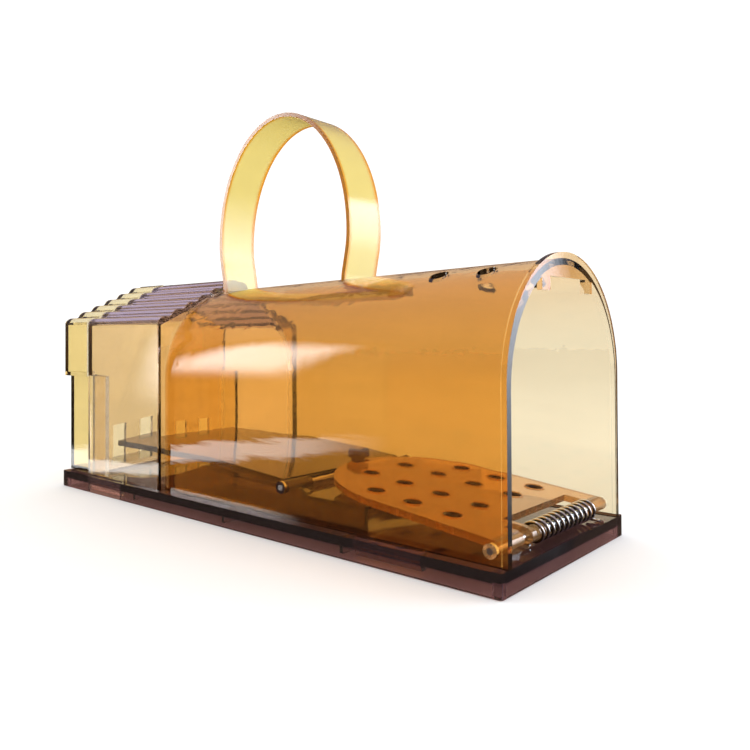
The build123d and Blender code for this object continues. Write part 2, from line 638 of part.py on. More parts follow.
def strap_stud():
    """Stud that joins the strap's two tails."""
    upper, lower = strap_levels()
    top, bottom = upper + STRAP_THICK / 2, lower - STRAP_THICK / 2
    stud = Pos(STUD_X, 0, (top + bottom) / 2) * Cylinder(STUD_RADIUS, top - bottom)
    stud += Pos(STUD_X, 0, top + STUD_HEAD / 2) * Cylinder(STUD_HEAD_RADIUS, STUD_HEAD)
    stud += Pos(STUD_X, 0, bottom - STUD_HEAD / 2) * Cylinder(STUD_HEAD_RADIUS, STUD_HEAD)
    return stud


PARTS = {
    "base_tray": base_tray,
    "tunnel_shell": tunnel_shell,
    "rear_cap": rear_cap,
    "bait_grille": bait_grille,
    "trap_door": trap_door,
    "door_pin": door_pin,
    "door_spring": door_spring,
    "trip_pedal": trip_pedal,
    "pedal_pin": pedal_pin,
    "carry_strap": carry_strap,
    "strap_stud": strap_stud,
}

os.makedirs("parts", exist_ok=True)
for name, make in PARTS.items():
    piece = make()
    piece.label = name
    export_step(piece, f"parts/{name}.step")
    print(name, round(piece.volume, 1), piece.bounding_box())
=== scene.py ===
# %% [markdown]
# # A clear amber live catch trap
# The trap is one arched tunnel with a small tiled house at its back, moulded in clear amber
# plastic and snapped on a dark brown tray. Inside lie a perforated ramp door on a sprung steel
# pin and a trip pedal. A soft yellow strap comes out through two slots in the roof.
# The CAD model gives every size and place. This lesson gives each piece its looks: clear
# plastic that darkens with depth, moulded marks that bend what is seen through it, and bright
# wire.

# %% Load the frame
import math

import bmesh
import bpy
from mathutils import Matrix, Vector


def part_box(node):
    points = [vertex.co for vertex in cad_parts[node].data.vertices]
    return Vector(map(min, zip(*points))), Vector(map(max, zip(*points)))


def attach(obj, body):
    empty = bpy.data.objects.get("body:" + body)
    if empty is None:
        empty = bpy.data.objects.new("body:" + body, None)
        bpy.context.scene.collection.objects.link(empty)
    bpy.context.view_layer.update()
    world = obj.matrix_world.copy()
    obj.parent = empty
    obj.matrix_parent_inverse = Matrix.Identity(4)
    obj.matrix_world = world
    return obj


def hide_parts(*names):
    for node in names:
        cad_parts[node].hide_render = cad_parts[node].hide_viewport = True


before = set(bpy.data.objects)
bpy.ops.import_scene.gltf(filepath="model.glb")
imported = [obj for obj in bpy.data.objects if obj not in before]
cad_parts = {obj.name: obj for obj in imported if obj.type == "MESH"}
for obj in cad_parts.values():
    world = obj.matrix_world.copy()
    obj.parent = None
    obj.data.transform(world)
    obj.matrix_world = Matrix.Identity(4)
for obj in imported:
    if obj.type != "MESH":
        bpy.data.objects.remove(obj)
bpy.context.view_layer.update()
MM = 0.001

# %% [markdown]
# ## Camera
# The camera stands low, a little above the door's height, and looks along the trap from its
# open end. It hardly tilts, so upright edges stay upright. A small lens shift frames the trap,
# as a view camera does, and nothing about the model depends on it.

# %% Camera
CAMERA_PLACE = (0.18609, -0.19013, 0.06188)

camera_data = bpy.data.cameras.new("camera")
camera_data.sensor_width = 36.0
camera_data.lens = 35.17
camera_data.shift_x = 0.0533
camera_data.shift_y = -0.0656
camera_data.clip_start = 0.01
camera = bpy.data.objects.new("camera", camera_data)
bpy.context.scene.collection.objects.link(camera)
azimuth, elevation, roll = math.radians(41.68), math.radians(-0.70), math.radians(-0.24)
turn = Matrix.Rotation(azimuth, 4, "Z") @ Matrix.Rotation(math.pi / 2 - elevation, 4, "X")
camera.matrix_world = Matrix.Translation(CAMERA_PLACE) @ turn @ Matrix.Rotation(roll, 4, "Z")
bpy.context.scene.camera = camera
print("camera", camera.matrix_world.translation)

# %% [markdown]
# ## Floor and room
# Clear plastic shows what is behind it and mirrors what is round it, so both have to be chosen.
# What is seen through it is a plain pale room. What it mirrors is a darker room with a few
# large soft lamps, because a gloss only reads as gloss when it has something dark beside it.
# The room's colour therefore depends on the kind of ray, which is common practice for glassware.

# %% Floor
FLOOR_RADIUS = 4.0
# The paper lies a hair under the tray's rim, so that their faces never share a place.
FLOOR_DROP = 0.2 * MM


def to_object(name, bm):
    """Puts a bmesh in a new object at the origin."""
    mesh = bpy.data.meshes.new(name)
    bm.to_mesh(mesh)
    bm.free()
    piece = bpy.data.objects.new(name, mesh)
    bpy.context.scene.collection.objects.link(piece)
    return piece


def disc(name, radius, z, sides=96):
    """A flat round face."""
    bm = bmesh.new()
    angles = [2 * math.pi * side / sides for side in range(sides)]
    bm.faces.new([bm.verts.new((radius * math.cos(a), radius * math.sin(a), z)) for a in angles])
    return to_object(name, bm)


floor = disc("floor", FLOOR_RADIUS, -FLOOR_DROP)
floor_mat = bpy.data.materials.new("floor_paper")
floor_mat.use_nodes = True
floor_shader = floor_mat.node_tree.nodes["Principled BSDF"]
floor_shader.inputs["Base Color"].default_value = (0.91, 0.91, 0.91, 1)
floor_shader.inputs["Roughness"].default_value = 0.9
floor_shader.inputs["Specular IOR Level"].default_value = 0.0
floor.data.materials.append(floor_mat)
floor.visible_glossy = False
print("floor radius", FLOOR_RADIUS)

# %% Room
SEEN_LEVEL = 1.15
# The mirrored room's colour from straight down, at 0, to straight up, at 1.
MIRRORED_DOWN = (0.05, 0.035, 0.03, 1)
MIRRORED_UP = (0.34, 0.30, 0.38, 1)
MIRRORED_BETWEEN = ((0.46, (0.10, 0.06, 0.04, 1)),
                    (0.52, (0.50, 0.26, 0.09, 1)),
                    (0.70, (0.30, 0.22, 0.22, 1)))
# A ray meets up to two dozen clear faces before it leaves the trap.
CLEAR_BOUNCES = 28

world = bpy.data.worlds.new("studio")
bpy.context.scene.world = world
world.use_nodes = True
wt = world.node_tree
wt.nodes.clear()
seen = wt.nodes.new("ShaderNodeBackground")
seen.inputs["Color"].default_value = (1, 1, 1, 1)
seen.inputs["Strength"].default_value = SEEN_LEVEL
mirrored = wt.nodes.new("ShaderNodeBackground")
mirrored.inputs["Strength"].default_value = 1.0
ray = wt.nodes.new("ShaderNodeLightPath")
direction = wt.nodes.new("ShaderNodeTexCoord")
split = wt.nodes.new("ShaderNodeSeparateXYZ")
ramp = wt.nodes.new("ShaderNodeValToRGB")
height = wt.nodes.new("ShaderNodeMapRange")
height.inputs["From Min"].default_value = -1.0
height.inputs["From Max"].default_value = 1.0
wt.links.new(direction.outputs["Generated"], split.inputs[0])
wt.links.new(split.outputs["Z"], height.inputs["Value"])
wt.links.new(height.outputs["Result"], ramp.inputs["Fac"])
wt.links.new(ramp.outputs["Color"], mirrored.inputs["Color"])
stops = ramp.color_ramp.elements
stops[0].position, stops[0].color = 0.0, MIRRORED_DOWN
stops[1].position, stops[1].color = 1.0, MIRRORED_UP
for at, colour in MIRRORED_BETWEEN:
    stops.new(at).color = colour
mix = wt.nodes.new("ShaderNodeMixShader")
out = wt.nodes.new("ShaderNodeOutputWorld")
# A ray through clear plastic counts as glossy too, so only one that didn't pass through is mirrored.
passed = wt.nodes.new("ShaderNodeMath")
passed.operation = "SUBTRACT"
passed.use_clamp = True
wt.links.new(ray.outputs["Is Glossy Ray"], passed.inputs[0])
wt.links.new(ray.outputs["Is Transmission Ray"], passed.inputs[1])
wt.links.new(passed.outputs[0], mix.inputs[0])
wt.links.new(seen.outputs[0], mix.inputs[1])
wt.links.new(mirrored.outputs[0], mix.inputs[2])
wt.links.new(mix.outputs[0], out.inputs["Surface"])
scene = bpy.context.scene
scene.view_settings.view_transform = "Standard"
scene.cycles.max_bounces = CLEAR_BOUNCES
scene.cycles.transmission_bounces = CLEAR_BOUNCES
scene.cycles.glossy_bounces = 8
scene.cycles.transparent_max_bounces = 32
print("room", SEEN_LEVEL, "seen;", len(stops), "stops mirrored; up to", CLEAR_BOUNCES, "bounces")

# %% [markdown]
# ## Lamps
# On clear plastic a lamp is mostly seen as its own reflection, so its outline matters more than
# its light. A plain area lamp has a hard edge and an even glow. These lamps are glowing panels
# with a UV map instead: each is dim at its lower edge and soft at the others, as a large
# diffuser is. The camera, clear plastic and shadows don't see them, so only their gloss shows.

# %% Lamps
def add(tree, kind, **values):
    """A node with some of its inputs or settings filled in."""
    node = tree.nodes.new(kind)
    for key, value in values.items():
        name = key.replace("_", " ")
        if name in node.inputs:
            node.inputs[name].default_value = value
        else:
            setattr(node, key, value)
    return node


def edge_fall(tree, value, width):
    """A factor that rises from 0 at both ends of a 0 to 1 range to 1 inside."""
    other = add(tree, "ShaderNodeMath", operation="SUBTRACT")
    other.inputs[0].default_value = 1.0
    nearest = add(tree, "ShaderNodeMath", operation="MINIMUM")
    rise = add(tree, "ShaderNodeMapRange", interpolation_type="SMOOTHSTEP", From_Max=width)
    tree.links.new(value, other.inputs[1])
    tree.links.new(value, nearest.inputs[0])
    tree.links.new(other.outputs[0], nearest.inputs[1])
    tree.links.new(nearest.outputs[0], rise.inputs["Value"])
    return rise.outputs["Result"]


def softbox(name, place, target, wide, high, radiance, tint=(1, 1, 1), fade=0.5, soft=0.2):
    """A glowing panel that shows in reflections, dim at its lower edge and soft at the others."""
    corners = ((0, 0), (1, 0), (1, 1), (0, 1))
    bm = bmesh.new()
    face = bm.faces.new([bm.verts.new(((u - 0.5) * wide, (v - 0.5) * high, 0)) for u, v in corners])
    layer = bm.loops.layers.uv.new("panel")
    for loop, corner in zip(face.loops, corners):
        loop[layer].uv = corner
    panel = to_object(name, bm)
    aim = (Vector(target) - Vector(place)).to_track_quat("Z", "Y")
    panel.matrix_world = Matrix.Translation(place) @ aim.to_matrix().to_4x4()
    mat = bpy.data.materials.new(name)
    mat.use_nodes = True
    tree = mat.node_tree
    link = tree.links.new
    tree.nodes.clear()
    glow = tree.nodes.new("ShaderNodeEmission")
    glow.inputs["Color"].default_value = (*tint, 1)
    uv = tree.nodes.new("ShaderNodeUVMap")
    uv.uv_map = "panel"
    xy = tree.nodes.new("ShaderNodeSeparateXYZ")
    link(uv.outputs["UV"], xy.inputs[0])
    level = add(tree, "ShaderNodeMapRange", interpolation_type="SMOOTHSTEP", From_Max=fade, To_Max=radiance)
    link(xy.outputs["Y"], level.inputs["Value"])
    sides = add(tree, "ShaderNodeMath", operation="MULTIPLY")
    link(edge_fall(tree, xy.outputs["X"], soft), sides.inputs[0])
    link(edge_fall(tree, xy.outputs["Y"], soft), sides.inputs[1])
    total = add(tree, "ShaderNodeMath", operation="MULTIPLY")
    link(level.outputs["Result"], total.inputs[0])
    link(sides.outputs[0], total.inputs[1])
    link(total.outputs[0], glow.inputs["Strength"])
    out_node = tree.nodes.new("ShaderNodeOutputMaterial")
    link(glow.outputs[0], out_node.inputs["Surface"])
    panel.data.materials.append(mat)
    panel.visible_camera = False
    panel.visible_transmission = False
    panel.visible_shadow = False


COOL_WHITE = (0.82, 0.88, 1.0)
SKY_WHITE = (0.95, 0.93, 1.0)
softbox("key_left", (-0.604, -0.518, 0.26), (0.0, -0.03, 0.26), 0.24, 0.56, 9.5, fade=0.45, soft=0.3)
softbox("low_left", (-0.60, -0.42, -0.089), (0.0, -0.03, 0.0), 0.62, 0.035, 5.0, fade=0.4, soft=0.25)
softbox("edge_right", (0.62, 0.55, 0.10), (0.1, 0.0, 0.10), 0.55, 0.75, 9.0, COOL_WHITE, fade=0.9, soft=0.1)
softbox("overhead", (0.1, 0.3, 0.9), (0.0, 0.0, 0.05), 0.5, 0.4, 2.0, SKY_WHITE)

# %% [markdown]
# ## Marks that every moulding has
# Injection moulded plastic is never optically flat. It has slow waves where it shrank, faint
# flow lines and fine handling marks. One node group holds them, and each material sets how
# strong they are. It gives out a height, a smudge mask and a tone, all read from Object
# coordinates, so the marks stay on the piece wherever it moves. The marks could be modelled in
# the mesh, but waves this shallow would need millions of faces, and a bump bends the view
# through the wall just as well.

# %% Node group: moulding marks
def moulding_marks_group():
    """Vector and strengths in; height, smudge and tone out."""
    group = bpy.data.node_groups.new("moulding_marks", "ShaderNodeTree")
    group.interface.new_socket("Vector", in_out="INPUT", socket_type="NodeSocketVector")
    for name in ("Wave", "Flow", "Smudge"):
        group.interface.new_socket(name, in_out="INPUT", socket_type="NodeSocketFloat")
    for name in ("Height", "Smudge", "Tone"):
        group.interface.new_socket(name, in_out="OUTPUT", socket_type="NodeSocketFloat")
    link = group.links.new
    inner = group.nodes.new("NodeGroupInput")
    outer = group.nodes.new("NodeGroupOutput")
    wave = add(group, "ShaderNodeTexNoise", Scale=38.0, Detail=1.0)
    stretch = add(group, "ShaderNodeMapping")
    stretch.inputs["Scale"].default_value = (0.35, 1.0, 1.6)
    flow = add(group, "ShaderNodeTexNoise", Scale=120.0, Detail=3.0)
    specks = add(group, "ShaderNodeTexNoise", Scale=900.0, Detail=2.0)
    smears = add(group, "ShaderNodeTexNoise", Scale=55.0, Detail=4.0)
    link(inner.outputs["Vector"], wave.inputs["Vector"])
    link(inner.outputs["Vector"], stretch.inputs["Vector"])
    link(stretch.outputs["Vector"], flow.inputs["Vector"])
    link(inner.outputs["Vector"], specks.inputs["Vector"])
    link(stretch.outputs["Vector"], smears.inputs["Vector"])
    tall = add(group, "ShaderNodeMath", operation="MULTIPLY")
    fine = add(group, "ShaderNodeMath", operation="MULTIPLY")
    total = add(group, "ShaderNodeMath", operation="ADD")
    link(wave.outputs["Fac"], tall.inputs[0])
    link(inner.outputs["Wave"], tall.inputs[1])
    link(flow.outputs["Fac"], fine.inputs[0])
    link(inner.outputs["Flow"], fine.inputs[1])
    link(tall.outputs[0], total.inputs[0])
    link(fine.outputs[0], total.inputs[1])
    link(total.outputs[0], outer.inputs["Height"])
    patch = add(group, "ShaderNodeMapRange", From_Min=0.45, From_Max=0.75)
    grain = add(group, "ShaderNodeMath", operation="MULTIPLY")
    share = add(group, "ShaderNodeMath", operation="MULTIPLY")
    link(smears.outputs["Fac"], patch.inputs["Value"])
    link(patch.outputs["Result"], grain.inputs[0])
    link(specks.outputs["Fac"], grain.inputs[1])
    link(grain.outputs[0], share.inputs[0])
    link(inner.outputs["Smudge"], share.inputs[1])
    link(share.outputs[0], outer.inputs["Smudge"])
    cloud = add(group, "ShaderNodeTexNoise", Scale=16.0, Detail=2.0, Distortion=0.6)
    link(stretch.outputs["Vector"], cloud.inputs["Vector"])
    tone = add(group, "ShaderNodeMix", data_type="FLOAT")
    tone.inputs[0].default_value = 0.65
    link(flow.outputs["Fac"], tone.inputs[2])
    link(cloud.outputs["Fac"], tone.inputs[3])
    link(tone.outputs[0], outer.inputs["Tone"])
    return group


moulding_marks = moulding_marks_group()
print("group", moulding_marks.name, [s.name for s in moulding_marks.interface.items_tree])

# %% [markdown]
# ## Clear plastic
# A clear moulding takes its colour in two ways. Dye near the surface tints light once for each
# wall it crosses, and the depth of the plastic darkens light that travels along a wall, which
# is why edges look almost navy. A tinted glass alone gives the first and not the second, so
# here the Base Color holds the tint of one wall and a plain Volume Absorption holds the depth.
# Light has to reach what lies inside, so shadow rays meet a tinted Transparent shader instead
# of glass. A moulding that isn't one tint all over gets it from a function of its Object
# coordinates. The tray's plate is darker than its thinner skirt, and the shell's tint also holds
# painted light: the tunnel's near wall is painted deeper and its far wall paler, as the light
# falls on them, and the roof holds a painted mauve reflection of the sky.

# %% Clear plastic material
MARK_DEPTH = 0.4 * MM
SMUDGE_ROUGH = 0.10


def depth_loss(per_mm):
    """Density and colour of an absorption that takes off these shares of each millimetre's light."""
    most = max(per_mm)
    return most / MM, tuple(1 - loss / most for loss in per_mm) + (1,)


def blend_of(tree, factor, first, second, blend="MIX"):
    """The colour between two others, each a plain colour or a socket."""
    both = add(tree, "ShaderNodeMix", data_type="RGBA", blend_type=blend)
    for socket, value in ((both.inputs[0], factor), (both.inputs[6], first), (both.inputs[7], second)):
        if isinstance(value, bpy.types.NodeSocket):
            tree.links.new(value, socket)
        elif isinstance(value, tuple):
            socket.default_value = (*value, 1)
        else:
            socket.default_value = value
    return both.outputs[2]


def clear_plastic(name, tint, depth, shadow, smudge=1.0, rough=0.02, clear=1.0):
    """Clear plastic. tint is what one wall lets through, a colour or a function that makes one.
    depth is what a millimetre takes off, and shadow is what a wall leaves of a lamp's light."""
    mat = bpy.data.materials.new(name)
    mat.use_nodes = True
    tree = mat.node_tree
    link = tree.links.new
    shader = tree.nodes["Principled BSDF"]
    shader.inputs["Transmission Weight"].default_value = clear
    shader.inputs["IOR"].default_value = 1.5
    coords = tree.nodes.new("ShaderNodeTexCoord")
    marks = tree.nodes.new("ShaderNodeGroup")
    marks.node_tree = moulding_marks
    marks.inputs["Wave"].default_value = 1.0
    marks.inputs["Flow"].default_value = 0.25
    marks.inputs["Smudge"].default_value = smudge
    link(coords.outputs["Object"], marks.inputs["Vector"])
    bump = add(tree, "ShaderNodeBump", Strength=0.25, Distance=MARK_DEPTH)
    link(marks.outputs["Height"], bump.inputs["Height"])
    link(bump.outputs["Normal"], shader.inputs["Normal"])
    gloss = add(tree, "ShaderNodeMapRange", To_Min=rough, To_Max=rough + SMUDGE_ROUGH)
    link(marks.outputs["Smudge"], gloss.inputs["Value"])
    link(gloss.outputs["Result"], shader.inputs["Roughness"])
    shade = add(tree, "ShaderNodeMapRange", From_Min=0.25, From_Max=0.75, To_Min=0.92, To_Max=1.04)
    link(marks.outputs["Tone"], shade.inputs["Value"])
    base = tint(tree, coords) if callable(tint) else tint
    link(blend_of(tree, 1.0, base, shade.outputs["Result"], "MULTIPLY"), shader.inputs["Base Color"])
    absorb = tree.nodes.new("ShaderNodeVolumeAbsorption")
    absorb.inputs["Density"].default_value, absorb.inputs["Color"].default_value = depth_loss(depth)
    out = tree.nodes["Material Output"]
    link(absorb.outputs[0], out.inputs["Volume"])
    lamp_light = tree.nodes.new("ShaderNodeBsdfTransparent")
    lamp_light.inputs["Color"].default_value = (*shadow, 1)
    which = tree.nodes.new("ShaderNodeLightPath")
    mix_in = tree.nodes.new("ShaderNodeMixShader")
    link(which.outputs["Is Shadow Ray"], mix_in.inputs[0])
    link(shader.outputs[0], mix_in.inputs[1])
    link(lamp_light.outputs[0], mix_in.inputs[2])
    link(mix_in.outputs[0], out.inputs["Surface"])
    return mat


# %% Tints that change over a moulding
def places_in(tree, coords):
    """The X, Y and Z of a point of the piece."""
    split_xyz = tree.nodes.new("ShaderNodeSeparateXYZ")
    tree.links.new(coords.outputs["Object"], split_xyz.inputs[0])
    return split_xyz.outputs


def step_at(tree, value, low, high, kind="LINEAR"):
    """0 where the value is under low, 1 where it is over high."""
    step = add(tree, "ShaderNodeMapRange", interpolation_type=kind, From_Min=low, From_Max=high)
    tree.links.new(value, step.inputs["Value"])
    return step.outputs["Result"]


HOUSE_LENGTH = 48.0 * MM
ROOF_RISE = 17.6 * MM
HOUSE_TINT = (0.97, 0.89, 0.78)
# Painted reflection: the roof's mauve is the sky mirrored on it, painted into its colour.
ROOF_PAINTED_REFLECTION = (0.50, 0.41, 0.53)
# Painted light: the near wall's tint is painted deeper and the far wall's paler, as the light falls on
# them.
NEAR_TINT_WITH_PAINTED_LIGHT = (0.86, 0.41, 0.07)
FAR_TINT_WITH_PAINTED_LIGHT = (0.83, 0.75, 0.52)
shell_low, shell_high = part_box("tunnel_shell")
house_front_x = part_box("bait_grille")[0].x + HOUSE_LENGTH
eaves_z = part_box("rear_cap")[1].z - ROOF_RISE


def tunnel_tint(tree, coords):
    """The tunnel's amber with painted light, deeper on the near wall and paler on the far wall
    as the light falls there, beside the house's paler amber and the roof's painted reflection.
    """
    at = places_in(tree, coords)
    across = step_at(tree, at["Y"], shell_low.y, shell_high.y)
    wall = blend_of(tree, across, NEAR_TINT_WITH_PAINTED_LIGHT, FAR_TINT_WITH_PAINTED_LIGHT)
    up = step_at(tree, at["Z"], eaves_z, eaves_z + 1.0 * MM)
    house = blend_of(tree, up, HOUSE_TINT, ROOF_PAINTED_REFLECTION)
    along = step_at(tree, at["X"], house_front_x - 1.0 * MM, house_front_x + 0.5 * MM)
    return blend_of(tree, along, house, wall)


STRAP_TINT = (0.93, 0.86, 0.46)
STRAP_EDGE = (0.86, 0.40, 0.03)
strap_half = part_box("carry_strap")[1].y


def strap_tint(tree, coords):
    """The strap's yellow, with the deep orange that shows along its two rims."""
    side = add(tree, "ShaderNodeMath", operation="ABSOLUTE")
    tree.links.new(places_in(tree, coords)["Y"], side.inputs[0])
    rim = step_at(tree, side.outputs[0], strap_half - 1.5 * MM, strap_half - 0.5 * MM, "SMOOTHSTEP")
    return blend_of(tree, rim, STRAP_TINT, STRAP_EDGE)


SKIRT_TOP = 3.2 * MM
SKIRT_TINT = (0.80, 0.56, 0.46)
PLATE_TINT = (0.44, 0.30, 0.29)


def tray_tint(tree, coords):
    """The tray's dark plate above a thinner, lighter skirt."""
    up = step_at(tree, places_in(tree, coords)["Z"], SKIRT_TOP - 0.2 * MM, SKIRT_TOP + 0.1 * MM)
    return blend_of(tree, up, SKIRT_TINT, PLATE_TINT)


print("house from", house_front_x, "back, eaves at", eaves_z, "strap half width", strap_half)

# %% The trap's plastics
CAP_TINT = (0.95, 0.83, 0.49)
GRILLE_TINT = (0.93, 0.78, 0.56)
DOOR_TINT = (0.84, 0.54, 0.24)
PEDAL_TINT = (0.40, 0.27, 0.23)
HOLE_SHADE_COLOUR = (0.045, 0.022, 0.012)
SHELL_DEPTH = (0.018, 0.020, 0.015)
DOOR_DEPTH = (0.05, 0.08, 0.10)
PEDAL_DEPTH = (0.20, 0.26, 0.26)
TRAY_DEPTH = (0.26, 0.31, 0.24)
STRAP_DEPTH = (0.10, 0.18, 0.60)
SHELL_SHADOW = (0.97, 0.88, 0.72)
PALE_SHADOW = (0.98, 0.92, 0.76)
DOOR_SHADOW = (0.90, 0.72, 0.45)
DARK_SHADOW = (0.85, 0.70, 0.60)
STRAP_SHADOW = (0.98, 0.95, 0.8)
amber_shell = clear_plastic("amber_shell", tunnel_tint, SHELL_DEPTH, SHELL_SHADOW)
amber_cap = clear_plastic("amber_cap", CAP_TINT, SHELL_DEPTH, PALE_SHADOW)
amber_grille = clear_plastic("amber_grille", GRILLE_TINT, SHELL_DEPTH, PALE_SHADOW)
amber_door = clear_plastic("amber_door", DOOR_TINT, DOOR_DEPTH, DOOR_SHADOW, clear=0.86)
brown_pedal = clear_plastic("brown_pedal", PEDAL_TINT, PEDAL_DEPTH, DARK_SHADOW, clear=0.95)
brown_tray = clear_plastic("brown_tray", tray_tint, TRAY_DEPTH, DARK_SHADOW, clear=0.97)
# Painted shade: a nearly black plastic for the sleeves in the door's holes, which only look dark.
painted_hole_shade = clear_plastic("painted_hole_shade", HOLE_SHADE_COLOUR, TRAY_DEPTH, DARK_SHADOW, rough=0.25, clear=0.1)
yellow_strap = clear_plastic("yellow_strap", strap_tint, STRAP_DEPTH, STRAP_SHADOW,
                             smudge=0.2, rough=0.12, clear=0.82)
print("materials so far", [m.name for m in bpy.data.materials])

# %% [markdown]
# ## Bright steel
# The pins and the spring are drawn wire: a clean metal with very fine lines and a little
# unevenness in its shine. On the pins a noise stretched along Y makes the lines, and an
# anisotropic shader could do the same, but not for the unevenness. On the spring the colour is
# painted darker towards the pin, as painted shade between the turns.

# %% Steel material
WIRE_DARK = (0.62, 0.62, 0.63)
WIRE_BRIGHT = (0.90, 0.90, 0.90)
COIL_RADIUS = 2.75 * MM
COIL_WIRE = 0.45 * MM
LINE_DEPTH = 0.05 * MM
LINE_ROUGH = 0.14
hinge = sum(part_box("door_pin"), Vector()) / 2


def bright_steel(name, stretch_to, rough, shade_reach=None):
    """Drawn steel. A shade_reach is two distances from the hinge's axis: the colour is painted
    dark at the first and bright at the second, as painted shade between the spring's turns."""
    mat = bpy.data.materials.new(name)
    mat.use_nodes = True
    tree = mat.node_tree
    link = tree.links.new
    shader = tree.nodes["Principled BSDF"]
    shader.inputs["Metallic"].default_value = 1.0
    coords = tree.nodes.new("ShaderNodeTexCoord")
    lay = tree.nodes.new("ShaderNodeMapping")
    lay.inputs["Scale"].default_value = stretch_to
    lines = add(tree, "ShaderNodeTexNoise", Scale=1800.0, Detail=3.0)
    link(coords.outputs["Object"], lay.inputs["Vector"])
    link(lay.outputs["Vector"], lines.inputs["Vector"])
    finish = blend_of(tree, lines.outputs["Fac"], WIRE_DARK, WIRE_BRIGHT)
    # Painted shade: the wire is painted darker towards the hinge's axis, where the turns shade each other.
    if shade_reach:
        offset = add(tree, "ShaderNodeVectorMath", operation="SUBTRACT")
        offset.inputs[1].default_value = hinge
        flat = add(tree, "ShaderNodeVectorMath", operation="MULTIPLY")
        flat.inputs[1].default_value = (1, 0, 1)
        reach = add(tree, "ShaderNodeVectorMath", operation="LENGTH")
        painted_gap_shade = add(tree, "ShaderNodeMapRange", From_Min=shade_reach[0], From_Max=shade_reach[1], To_Min=0.04)
        link(coords.outputs["Object"], offset.inputs[0])
        link(offset.outputs["Vector"], flat.inputs[0])
        link(flat.outputs["Vector"], reach.inputs[0])
        link(reach.outputs["Value"], painted_gap_shade.inputs["Value"])
        finish = blend_of(tree, 1.0, finish, painted_gap_shade.outputs["Result"], "MULTIPLY")
    link(finish, shader.inputs["Base Color"])
    gloss = add(tree, "ShaderNodeMapRange", To_Min=rough, To_Max=rough + LINE_ROUGH)
    link(lines.outputs["Fac"], gloss.inputs["Value"])
    link(gloss.outputs["Result"], shader.inputs["Roughness"])
    bump = add(tree, "ShaderNodeBump", Strength=0.15, Distance=LINE_DEPTH)
    link(lines.outputs["Fac"], bump.inputs["Height"])
    link(bump.outputs["Normal"], shader.inputs["Normal"])
    return mat


pin_steel = bright_steel("pin_steel", (1.0, 0.05, 1.0), 0.10)
coil_shade_reach = (COIL_RADIUS, COIL_RADIUS + 0.8 * COIL_WIRE)
spring_steel = bright_steel("spring_steel", (1.0, 1.0, 1.0), 0.08, shade_reach=coil_shade_reach)
print("steel", pin_steel.name, spring_steel.name)

# %% [markdown]
# ## Mouldings and rods
# The CAD meshes have the right shapes, but they are loose flat triangles, so a curved wall
# would look faceted, and in clear plastic each facet would bend the view its own way. Modelling
# the pieces again would lose the CAD sizes. Each one is therefore a copy of its CAD mesh with
# its doubles joined: it is shaded smooth everywhere but along the sharp edges. Copies keep
# every size, and the CAD node is only hidden.

# %% Copies of the CAD pieces
SHARP = math.radians(28)
WELD = 0.002 * MM


def moulding(node, name, material, body):
    """A merged copy of a CAD node, smooth but for its sharp edges, that stands for it."""
    bm = bmesh.new()
    bm.from_mesh(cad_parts[node].data)
    bmesh.ops.remove_doubles(bm, verts=bm.verts, dist=WELD)
    for face in bm.faces:
        face.smooth = True
        face.material_index = 0
    for line in bm.edges:
        line.smooth = line.is_manifold and line.calc_face_angle(0.0) < SHARP
    piece = to_object(name, bm)
    piece.data.materials.append(material)
    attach(piece, body)
    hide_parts(node)
    print(name, len(piece.data.polygons), "faces")


moulding("tunnel_shell", "shell_moulding", amber_shell, "housing")
moulding("base_tray", "tray_moulding", brown_tray, "housing")
moulding("rear_cap", "cap_moulding", amber_cap, "cap")
moulding("bait_grille", "grille_moulding", amber_grille, "housing")
moulding("trap_door", "door_moulding", amber_door, "door")
moulding("trip_pedal", "pedal_moulding", brown_pedal, "pedal")
moulding("strap_stud", "stud_moulding", yellow_strap, "housing")
moulding("carry_strap", "strap_ribbon", yellow_strap, "housing")
moulding("door_pin", "door_pin_rod", pin_steel, "door")
moulding("pedal_pin", "pedal_pin_rod", pin_steel, "pedal")

# %% [markdown]
# ## The door's spring
# A torsion spring is one steel wire wound round the door's pin, with a straight leg at each
# end: one presses on the door, the other on the tray. It could be a curve with a point typed
# for each quarter turn, but then no size could be changed. It follows a rule, so Geometry
# Nodes build it: a spiral and two short lines get the same round wire, and its sizes are inputs.

# %% Geometry Nodes: torsion spring
def tree_with(name, sizes):
    """A new Geometry Nodes tree with an input for each size and one for the material."""
    tree = bpy.data.node_groups.new(name, "GeometryNodeTree")
    for size in sizes:
        tree.interface.new_socket(size, in_out="INPUT", socket_type="NodeSocketFloat")
    tree.interface.new_socket("Material", in_out="INPUT", socket_type="NodeSocketMaterial")
    tree.interface.new_socket("Geometry", in_out="OUTPUT", socket_type="NodeSocketGeometry")
    return tree


def made_by(tree, name, values, material):
    """An object made by a Geometry Nodes tree and turned into a plain mesh, with no modifier left."""
    piece = bpy.data.objects.new(name, bpy.data.meshes.new(name))
    bpy.context.scene.collection.objects.link(piece)
    maker = piece.modifiers.new("maker", "NODES")
    maker.node_group = tree
    for item in tree.interface.items_tree:
        if item.in_out == "INPUT":
            maker[item.identifier] = material if item.name == "Material" else values[item.name]
    graph = bpy.context.evaluated_depsgraph_get()
    mesh = bpy.data.meshes.new_from_object(piece.evaluated_get(graph))
    piece.modifiers.clear()
    piece.data = mesh
    return piece


def finished(tree, geometry, inner):
    """Ends a tree: instances made real, smooth shading and the material set."""
    link = tree.links.new
    real = tree.nodes.new("GeometryNodeRealizeInstances")
    shade = tree.nodes.new("GeometryNodeSetShadeSmooth")
    paint = tree.nodes.new("GeometryNodeSetMaterial")
    outer = tree.nodes.new("NodeGroupOutput")
    link(geometry, real.inputs[0])
    link(real.outputs[0], shade.inputs["Geometry"])
    link(shade.outputs[0], paint.inputs["Geometry"])
    link(inner.outputs["Material"], paint.inputs["Material"])
    link(paint.outputs[0], outer.inputs["Geometry"])


